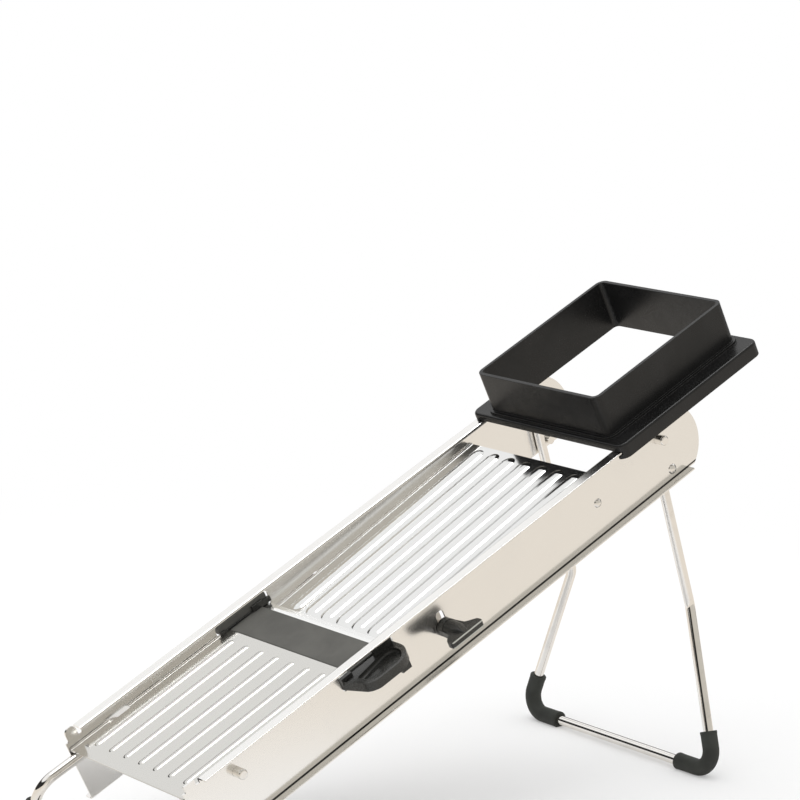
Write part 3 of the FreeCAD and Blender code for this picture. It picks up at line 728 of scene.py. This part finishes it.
def catches_and_shadow_strip(front, edge, top, inside, lap):
    """Dark catches inside the left end: a stepped block behind the blade and a clip, with a dark strip
    along the wall as painted shadow in the gap there.
    """
    catch_edge = 0.0003
    # Name, front end, rear end, depth, underside and top of each block
    blocks = (
        ("catches_and_shadow_strip", edge - 0.0125, edge - 0.0045, 0.0021, top - 0.0003, -0.0036),
        ("catch_step", edge - 0.0060, edge + 0.0010, 0.0021, top - 0.0003, -0.0046),
        # This dark strip paints the shadow in the gap along the wall.
        ("gap_shadow_strip", front + 0.0030, edge - 0.0050, 0.0012, top + 0.0005, top + 0.0013),
        ("front_clip", front - 0.0001, front + 0.0035, 0.0015, top + 0.0005, top + 0.0021),
    )
    made = [block(name, (start, inside - depth, foot), (end, inside - lap, head))
            for name, start, end, depth, foot, head in blocks]
    for other in made[1:]:
        combine(made[0], other)
    soften(made[0], catch_edge)
    return made[0]


class SLICER_OT_holder(Operator):
    """Bar that carries the blade, with the tongue that fills the left window, its dark catches and a
    painted shadow strip
    """
    bl_idname = "slicer.holder"
    bl_label = "Blade holder"

    def execute(self, context):
        s = context.scene.slicer_sizes
        over, lap, slack = 0.001, 0.0001, 0.00005
        front_round, lip_round = 0.0012, 0.0022
        rear_ledge, neck_inset, neck_drop, lip_rise = 0.002, 0.003, 0.001, 0.0008
        low, high = deck_box("blade_holder")
        blade_low, blade_high = deck_box("blade")
        half = blade_high.y
        front = blade_low.x - s.holder_lead
        rear = front + s.holder_length
        top = -s.holder_top
        piece = block("holder_moulding", (front, -half, low.z), (rear, half, top))
        round_edges(piece, 1, front_round, 4,
                    lambda middle: middle.x < front + NEAR and middle.z > top - NEAR)
        cut(piece, block("rear_step", (rear - rear_ledge, -half - over, blade_high.z),
                         (rear + over, half + over, 0.0)))
        slit = blade_high.z + slack
        cut(piece, block("slit", (blade_low.x - slack, -half - over, slit - s.blade_thickness),
                         (rear + over, half + over, slit)))
        combine(piece, block("neck", (front + neck_inset, low.y, low.z),
                             (rear - neck_inset, -half + over, blade_low.z - neck_drop)))
        combine(piece, block("tongue", (front, half - lap, low.z), high))
        lip = block("lip", (low.x, half - lap, top + lip_rise), (front + over, high.y, high.z))
        round_edges(lip, 1, lip_round, 6,
                    lambda middle: middle.x < low.x + NEAR and middle.z > high.z - NEAR)
        combine(piece, lip)
        soften(piece, s.holder_edge)
        set_down(piece)
        dress(piece, "blade_unit", "holder_plastic", "holder", "blade_holder")
        catches = catches_and_shadow_strip(low.x, blade_high.x, top, half, lap)
        set_down(catches)
        dress(catches, "blade_unit", "grip_plastic", "grip")
        return {"FINISHED"}


def thumb_hollow(s, low, high, top):
    """Cutter for the grip's hollow: narrow in front, with rounded corners and a rounded floor."""
    over = 0.002
    inner_front_round, inner_rear_round, floor_round = 0.0018, 0.0070, 0.0016
    floor = top - s.grip_hollow
    front, rear = low.x + s.grip_end_rim, high.x - s.grip_end_rim
    outer, inner = low.y + s.grip_rim, high.y - s.hollow_rear
    lead = s.grip_slant * s.hollow_front / (high.y - low.y)
    hollow = block("hollow", (front, outer, floor), (rear, inner, top + over))
    shift_upright(hollow, front, inner, (lead, s.hollow_rear - s.hollow_front, 0.0))
    shift_upright(hollow, front, outer, (s.grip_slant, 0.0, 0.0))
    round_upright(hollow, front + lead, high.y - s.hollow_front, inner_front_round)
    round_upright(hollow, rear, inner, inner_rear_round)
    round_upright(hollow, rear, outer, s.grip_rear_round - s.grip_end_rim)
    round_upright(hollow, front + s.grip_slant, outer, s.grip_end_rim)
    choose(hollow, "EDGE",
           lambda edge: all(point.z < floor + NEAR for point in edge_ends(hollow, edge)))
    bevel(floor_round, segments=5)
    return hollow


class SLICER_OT_grip(Operator):
    """Grip with a blunt front end, a thumb hollow, ears beside the rail and a catch below"""
    bl_idname = "slicer.grip"
    bl_label = "Holder grip"

    def execute(self, context):
        s = context.scene.slicer_sizes
        low, high = deck_box("holder_grip")
        top = -s.grip_top
        under = top - s.grip_height
        past = high.y + 0.003
        nose = low.x - 0.0016
        piece = block("grip_moulding", (nose, low.y, under), (high.x, past, top))
        shift_upright(piece, nose, low.y, (low.x + s.grip_slant - nose, 0.0, 0.0))
        round_upright(piece, low.x + s.grip_slant, low.y, s.grip_front_round)
        round_upright(piece, high.x, low.y, s.grip_rear_round)
        cut(piece, thumb_hollow(s, low, high, top))
        # Name, front end and rear end behind the grip's front, and top of each ear
        ears = (("front_ear", -0.0007, 0.0071, top + 0.0018), ("rear_ear", 0.0246, 0.0376, high.z))
        ear_face, ear_root = high.y - 0.0026, top - 0.002
        for name, start, end, head in ears:
            combine(piece, block(name, (low.x + start, ear_face, ear_root), (low.x + end, past, head)))
        tab_end, tab_length, tab_root = high.x - 0.0009, 0.0065, under + 0.001
        tab_outer, tab_inner = high.y - 0.0116, high.y - 0.0086
        combine(piece, block("tab", (tab_end - tab_length, tab_outer, low.z),
                             (tab_end, tab_inner, tab_root)))
        soften(piece, s.grip_edge)
        choose_all(piece, "FACE")
        bpy.ops.mesh.bisect(plane_co=(0.0, high.y, 0.0), plane_no=ACROSS,
                            use_fill=True, clear_outer=True)
        let_go()
        smooth(piece, CREASE)
        set_down(piece)
        dress(piece, "blade_unit", "grip_plastic", "grip", "holder_grip")
        return {"FINISHED"}


def knob_hub(axis, start, tip, radius):
    """Hub that tapers from the collar to a shoulder, and from there almost to the wing's end."""
    shoulder, end = tip + 0.0078, tip + 0.0006
    shoulder_radius, end_share = 0.0047, 0.34
    hub = bar("hub", (axis.x, start, axis.z), (axis.x, shoulder, axis.z), radius, shoulder_radius)
    choose_side(hub, -ACROSS)
    draw_out((0.0, end - shoulder, 0.0), (axis.x, end, axis.z), (end_share, 1.0, end_share))
    let_go()
    return hub


def knob_wing(axis, root, neck, tip, span, thick):
    """Flat wing that flares from a narrow waist to its full span."""
    waist, corner = 0.0058, 0.0016
    # Run along the axis and half width at its end
    flare = ((0.0035, 0.0062), (0.0030, 0.0066), (0.0020, 0.0084), (0.0016, 0.0104),
             (0.0014, span - 0.0003), (0.0010, span))
    rest = neck - tip - sum(run for run, half in flare)
    wing = block("wing", (axis.x - waist, neck, axis.z - thick), (axis.x + waist, root, axis.z + thick))
    choose_side(wing, -ACROSS)
    reach = neck
    width = waist
    for run, half in flare + ((rest, span),):
        reach -= run
        draw_out((0.0, -run, 0.0), (axis.x, reach, axis.z), (half / width, 1.0, 1.0))
        width = half
    let_go()
    round_edges(wing, 2, corner, 4, lambda middle: middle.y < tip + NEAR)
    return wing


class SLICER_OT_knob(Operator):
    """Wing knob: a collar and a tapering hub that flow into a flat wing"""
    bl_idname = "slicer.knob"
    bl_label = "Wing knob"

    def execute(self, context):
        s = context.scene.slicer_sizes
        hub_lap, hub_inset, wing_inset = 0.0005, 0.0003, 0.001
        knob_edge, knob_crease = 0.0007, 32.0
        low, high = deck_box("wing_knob")
        axis = (low + high) / 2.0
        face = high.y
        tip = low.y
        neck = face - s.collar_length
        collar = s.collar_dia / 2.0
        piece = bar("knob_moulding", (axis.x, face, axis.z), (axis.x, neck, axis.z), collar, collar)
        combine(piece, knob_hub(axis, neck + hub_lap, tip, collar - hub_inset))
        combine(piece, knob_wing(axis, face - wing_inset, neck, tip,
                                 s.wing_span / 2.0, s.wing_thickness / 2.0))
        soften(piece, knob_edge, 4, knob_crease)
        set_down(piece)
        dress(piece, "knob", "grip_plastic", "knob", "wing_knob")
        return {"FINISHED"}


class SLICER_OT_end_cap(Operator):
    """Turned end cap on the left end of the clamp rod"""
    bl_idname = "slicer.end_cap"
    bl_label = "Clamp end cap"

    def execute(self, context):
        rim_share, slope_share, rim_start = 0.34, 0.10, 0.95
        recess, rim_round, cap_edge = 0.0008, 0.0018, 0.0003
        low, high = deck_box("clamp_end_cap")
        axis = (low + high) / 2.0
        radius = (high.x - low.x) / 2.0
        piece = bar("end_cap_moulding", (axis.x, low.y, axis.z), (axis.x, high.y, axis.z), radius, radius)
        choose_side(piece, ACROSS)
        bpy.ops.mesh.inset(thickness=radius * rim_share)
        bpy.ops.mesh.inset(thickness=radius * slope_share)
        bpy.ops.transform.translate(value=(0.0, -recess, 0.0))
        let_go()

        def on_outer_rim(point):
            return point.y > high.y - NEAR and (point - axis).xz.length > radius * rim_start

        choose(piece, "EDGE", lambda edge: all(map(on_outer_rim, edge_ends(piece, edge))))
        bevel(rim_round, segments=5)
        soften(piece, cap_edge)
        set_down(piece)
        dress(piece, "run_in", "grip_plastic", "grip", "clamp_end_cap")
        return {"FINISHED"}


def ring_step(move, centre, factor=1.0):
    """Extrude the chosen ring of edges along a move, then draw it in or out about its new centre."""
    bpy.ops.mesh.extrude_edges_move(TRANSFORM_OT_translate={"value": move})
    if factor != 1.0:
        bpy.ops.transform.resize(value=(factor, factor, factor), center_override=centre)


def elbow(name, corner, upward, inward, bend, s):
    """Rubber sleeve round one bent corner of a leg, with a lip at each end and a flat sole."""
    bore_slack, bore_depth = 0.00005, 0.0015
    lip_swell, lip_length, lip_slope = 1.03, 0.0016, 0.0005
    lip_edge, lip_crease = 0.00035, 40.0
    still = Vector((0.0, 0.0, 0.0))
    outer = s.elbow_dia / 2.0
    bore = s.rod_dia / 2.0 + bore_slack
    lip = outer * lip_swell
    lip_run = lip_length + lip_slope
    turn = upward.angle(inward)
    reach = bend / math.tan(turn / 2.0)
    outward = -inward
    end = corner + inward * (reach + s.elbow_across)
    bend_start = corner + inward * reach
    side = (upward - outward * outward.dot(upward)).normalized()
    hub = bend_start + side * bend
    let_go()
    bpy.ops.mesh.primitive_circle_add(vertices=ELBOW_SIDES, radius=bore, fill_type="NGON",
                                      location=end + outward * bore_depth, rotation=pointing(outward))
    piece = settle(bpy.context.object, name)
    choose_all(piece, "EDGE")
    ring_step(inward * bore_depth, end)
    ring_step(still, end, lip / bore)
    ring_step(outward * lip_length, end + outward * lip_length)
    ring_step(outward * lip_slope, end + outward * lip_run, outer / lip)
    ring_step(outward * (s.elbow_across - lip_run), bend_start)
    bpy.ops.mesh.spin(steps=ELBOW_STEPS, angle=turn - math.pi, center=hub,
                      axis=outward.cross(upward).normalized())
    top = corner + upward * (reach + s.elbow_up)
    ring_step(upward * (s.elbow_up - lip_run), top)
    ring_step(upward * lip_slope, top - upward * lip_length, lip / outer)
    ring_step(upward * lip_length, top)
    ring_step(still, top, bore / lip)
    ring_step(upward * -bore_depth, top - upward * bore_depth)
    bpy.ops.mesh.edge_face_add()
    bpy.ops.mesh.select_all(action="SELECT")
    bpy.ops.mesh.remove_doubles(threshold=DOUBLES)
    bpy.ops.mesh.bisect(plane_co=still, plane_no=UP, use_fill=True, clear_inner=True)
    bpy.ops.mesh.select_all(action="SELECT")
    bpy.ops.mesh.normals_make_consistent(inside=False)
    round_sharp(piece, lip_edge, 3, lip_crease)
    bpy.ops.object.shade_smooth_by_angle(angle=math.radians(lip_crease))
    return piece


REAR_LEAN = math.radians(8.2)
REAR_KNEE = 0.1103

# Body, joint, pivot to knee in the deck frame, pivot to foot, half width on the floor and bend radius
LEGS = {
    "front": ("front_leg", "front_leg_fold", Vector((-0.058, 0.0532, 0.00081)), -0.053983, 0.074, 0.008),
    "rear": ("rear_stand", "rear_stand_fold",
             Vector((-REAR_KNEE * math.sin(REAR_LEAN), 0.0532, -REAR_KNEE * math.cos(REAR_LEAN))),
             0.02486, 0.0852, 0.011),
}


class SLICER_OT_elbows(Operator):
    """Rubber elbows on the four lower corners of the wire legs"""
    bl_idname = "slicer.elbows"
    bl_label = "Rubber elbows"

    def execute(self, context):
        s = context.scene.slicer_sizes
        sole_depth = 0.0004
        turn = DECK.to_3x3()
        floor_level = s.elbow_dia / 2.0 - sole_depth
        for end, (body, fold, knee, foot_back, half_width, bend) in LEGS.items():
            pivot = Vector(joint(fold)["pos_m"])
            for hand, side in SIDES.items():
                knee_point = pivot + turn @ Vector((knee.x, side * knee.y, knee.z))
                corner = Vector((pivot.x + foot_back, side * half_width, floor_level))
                upward = (knee_point - corner).normalized()
                piece = elbow(f"{end}_elbow_{hand}", corner, upward, ACROSS * -side, bend, s)
                dress(piece, body, "foot_rubber", "rubber", f"{end}_foot_{hand}")
        return {"FINISHED"}


# Stage

CAMERA_PLACE = Vector((-1.0528, -1.3394, 0.5564))
CAMERA_TURN = (math.radians(90.0 - 10.64), 0.0, math.radians(-38.10))
SOFTBOX_X, SOFTBOX_Y = -0.2, 0.25
FLOOR_SIZE = 1.6
FLOOR_SPREAD = 4.0
PAPER_GLOW = 0.28

# Distances from the middle over which the floor turns white, for the camera and in polished metal
PAPER_FADE = (0.40, 0.90)
MIRROR_FADE = (0.10, 0.35)

# Mirrored room: each pair is the span of a direction's part over which an edge fades
STRIP_FOOT = (-0.06, 0.0)
STRIP_TOP = (0.37, 0.46)
STRIP_LEFT_END = (-0.50, -0.38)
STRIP_LEFT_RISE = 0.10
BRIGHT_SIDE = Vector((0.20, -0.98, 0.0))
BRIGHT_FADE = (0.35, 0.60)
AHEAD_X = (0.05, 0.30)
AHEAD_Y = (0.66, 0.80)
AHEAD_SHARE = 0.5
NEAR_SIDE = (-0.60, -0.15)
CEILING = (0.62, 0.85)
KEY_RISE = (0.50, 0.60)
KEY_PANEL = {"X": (-0.30, 0.45), "Y": (-0.02, 0.24)}
KEY_START_FADE = 0.08
KEY_END_FADE = 0.06


def seen_plainly(tree):
    """Mask of the camera's rays, straight or through glass, and the sockets it is read from."""
    path = tree.nodes.new("ShaderNodeLightPath").outputs
    return maths(tree, "MAXIMUM", path["Is Camera Ray"], path["Is Transmission Ray"]), path


def paper_floor(tree, shader, warm):
    """Lit paper near the object, plain white further out, and a warm floor where metal mirrors it."""
    place = object_coordinates(tree)
    away = node(tree, "ShaderNodeVectorMath", {"operation": "LENGTH"}, Vector=place).outputs["Value"]
    seen, path = seen_plainly(tree)
    seen = product(tree, seen, ranged(tree, away, PAPER_FADE, PAPER_GLOW, 1.0))
    glossy = path["Is Glossy Ray"]
    mirrored = product(tree, glossy, rising(tree, away, MIRROR_FADE))
    tone = between(tree, glossy, WHITE, shaded(warm))
    glow = node(tree, "ShaderNodeEmission", Color=tone, Strength=1.0).outputs["Emission"]
    paper = either(tree, maths(tree, "MAXIMUM", seen, mirrored), shader.outputs["BSDF"], glow)
    feed(tree, tree.nodes["Material Output"].inputs["Surface"], paper)


def lay_floor(pale, warm):
    """Sheet of paper with a wide border, its fibres just visible."""
    dark_fibre, pale_fibre = 0.995, 1.005
    let_go()
    bpy.ops.mesh.primitive_plane_add(size=FLOOR_SIZE, location=(0.0, 0.0, 0.0))
    floor = bpy.context.object
    floor.name = "floor"
    choose_all(floor, "EDGE")
    bpy.ops.mesh.extrude_edges_move()
    bpy.ops.transform.resize(value=(FLOOR_SPREAD, FLOOR_SPREAD, 1.0), center_override=(0.0, 0.0, 0.0))
    let_go()
    finish, tree, shader = new_finish("floor_paper")
    fibre = noise(tree, object_coordinates(tree), scale=900.0, detail=3.0)
    tone = between(tree, fibre, shaded(pale, dark_fibre), shaded(pale, pale_fibre))
    feed(tree, shader.inputs["Base Color"], tone)
    shader.inputs["Roughness"].default_value = 0.9
    shader.inputs["Specular IOR Level"].default_value = 0.1
    paper_floor(tree, shader, warm)
    floor.data.materials.append(finish)


def dark_strip(tree, way, part):
    """Mask of the low dark strip, higher at its left end, gone on the bright side, paler ahead."""
    rise = ranged(tree, part["X"], STRIP_LEFT_END, STRIP_LEFT_RISE, 0.0)
    height = maths(tree, "SUBTRACT", part["Z"], rise)
    bright = vector_maths(tree, "DOT_PRODUCT", way, BRIGHT_SIDE)["Value"]
    ahead = product(tree, rising(tree, part["X"], AHEAD_X), rising(tree, part["Y"], AHEAD_Y))
    return product(tree, rising(tree, part["Z"], STRIP_FOOT), falling(tree, height, STRIP_TOP),
                   falling(tree, bright, BRIGHT_FADE), ranged(tree, ahead, WHOLE, 1.0, AHEAD_SHARE))


def overhead_key(tree, part, strength):
    """Brightness of the overhead panel, soft at its edges."""
    key = ranged(tree, part["Z"], KEY_RISE, 0.0, strength)
    for axis, (low, high) in KEY_PANEL.items():
        start = (low - KEY_START_FADE, low + KEY_START_FADE)
        end = (high - KEY_END_FADE, high + KEY_END_FADE)
        key = product(tree, key, rising(tree, part[axis], start), falling(tree, part[axis], end))
    return key


def studio_world(light):
    """White surroundings and even light, with a room that only polished metal mirrors."""
    world = bpy.data.worlds.new("studio")
    bpy.context.scene.world = world
    world.use_nodes = True
    tree = world.node_tree
    tree.nodes.clear()
    way = tree.nodes.new("ShaderNodeTexCoord").outputs["Generated"]
    part = split(tree, way)
    near = falling(tree, part["Y"], NEAR_SIDE)
    shade = ranged(tree, part["Z"], CEILING, 1.0 - light.near_wall, 1.0 - light.near_ceiling)
    mirrored = maths(tree, "SUBTRACT", 1.0, product(tree, near, shade))
    strip = ranged(tree, dark_strip(tree, way, part), WHOLE, 1.0, light.dark_strip)
    mirrored = product(tree, mirrored, strip)
    mirrored = maths(tree, "ADD", mirrored, overhead_key(tree, part, light.key))
    tint = between(tree, near, WHITE, shaded(light.near_tint))
    seen, path = seen_plainly(tree)
    even, room, white = (
        node(tree, "ShaderNodeBackground", Color=tone, Strength=strength).outputs["Background"]
        for tone, strength in ((WHITE, light.ambient), (tint, mirrored), (WHITE, 1.0)))
    lit = either(tree, path["Is Glossy Ray"], even, room)
    output = tree.nodes.new("ShaderNodeOutputWorld")
    feed(tree, output.inputs["Surface"], either(tree, seen, lit, white))


class SLICER_OT_stage(Operator):
    """Pale floor, even studio light and the camera"""
    bl_idname = "slicer.stage"
    bl_label = "Stage"

    def execute(self, context):
        scene = context.scene
        light = scene.slicer_light
        lay_floor(scene.slicer_finishes.floor, light.warm_floor)
        lamp = bpy.data.lights.new("softbox", "AREA")
        lamp.shape = "SQUARE"
        lamp.size = light.softbox_width
        lamp.energy = light.softbox
        softbox = bpy.data.objects.new("softbox", lamp)
        scene.collection.objects.link(softbox)
        softbox.location = (SOFTBOX_X, SOFTBOX_Y, light.softbox_height)
        softbox.visible_glossy = False
        studio_world(light)
        lens = bpy.data.cameras.new("camera")
        lens.lens = light.lens
        camera = bpy.data.objects.new("camera", lens)
        scene.collection.objects.link(camera)
        camera.location = CAMERA_PLACE
        camera.rotation_euler = CAMERA_TURN
        scene.camera = camera
        scene.view_settings.view_transform = "Standard"
        return {"FINISHED"}


class SLICER_PT_sidebar(Panel):
    """Steps that build the slicer, with their sizes and finishes"""
    bl_idname = "SLICER_PT_sidebar"
    bl_label = "Mandoline slicer"
    bl_space_type = "VIEW_3D"
    bl_region_type = "UI"
    bl_category = "Slicer"

    def draw(self, context):
        for step in STEPS:
            self.layout.operator(step.bl_idname)
        for group in GROUPS:
            values = getattr(context.scene, group)
            box = self.layout.box()
            for label in values.__annotations__:
                box.prop(values, label)


STEPS = (SLICER_OT_finishes, SLICER_OT_carriage, SLICER_OT_holder, SLICER_OT_grip, SLICER_OT_knob,
         SLICER_OT_end_cap, SLICER_OT_elbows, SLICER_OT_stage)
GROUPS = {"slicer_sizes": SlicerSizes, "slicer_finishes": SlicerFinishes, "slicer_light": SlicerLight}


def register():
    for made in (*GROUPS.values(), *STEPS, SLICER_PT_sidebar):
        bpy.utils.register_class(made)
    for label, group in GROUPS.items():
        setattr(bpy.types.Scene, label, PointerProperty(type=group))


def unregister():
    for label in GROUPS:
        delattr(bpy.types.Scene, label)
    for made in (SLICER_PT_sidebar, *STEPS, *GROUPS.values()):
        bpy.utils.unregister_class(made)


def main():
    register()
    bpy.ops.slicer.finishes()
    bpy.ops.slicer.carriage()
    bpy.ops.slicer.holder()
    bpy.ops.slicer.grip()
    bpy.ops.slicer.knob()
    bpy.ops.slicer.end_cap()
    bpy.ops.slicer.elbows()
    bpy.ops.slicer.stage()


if __name__ == "__main__":
    main()
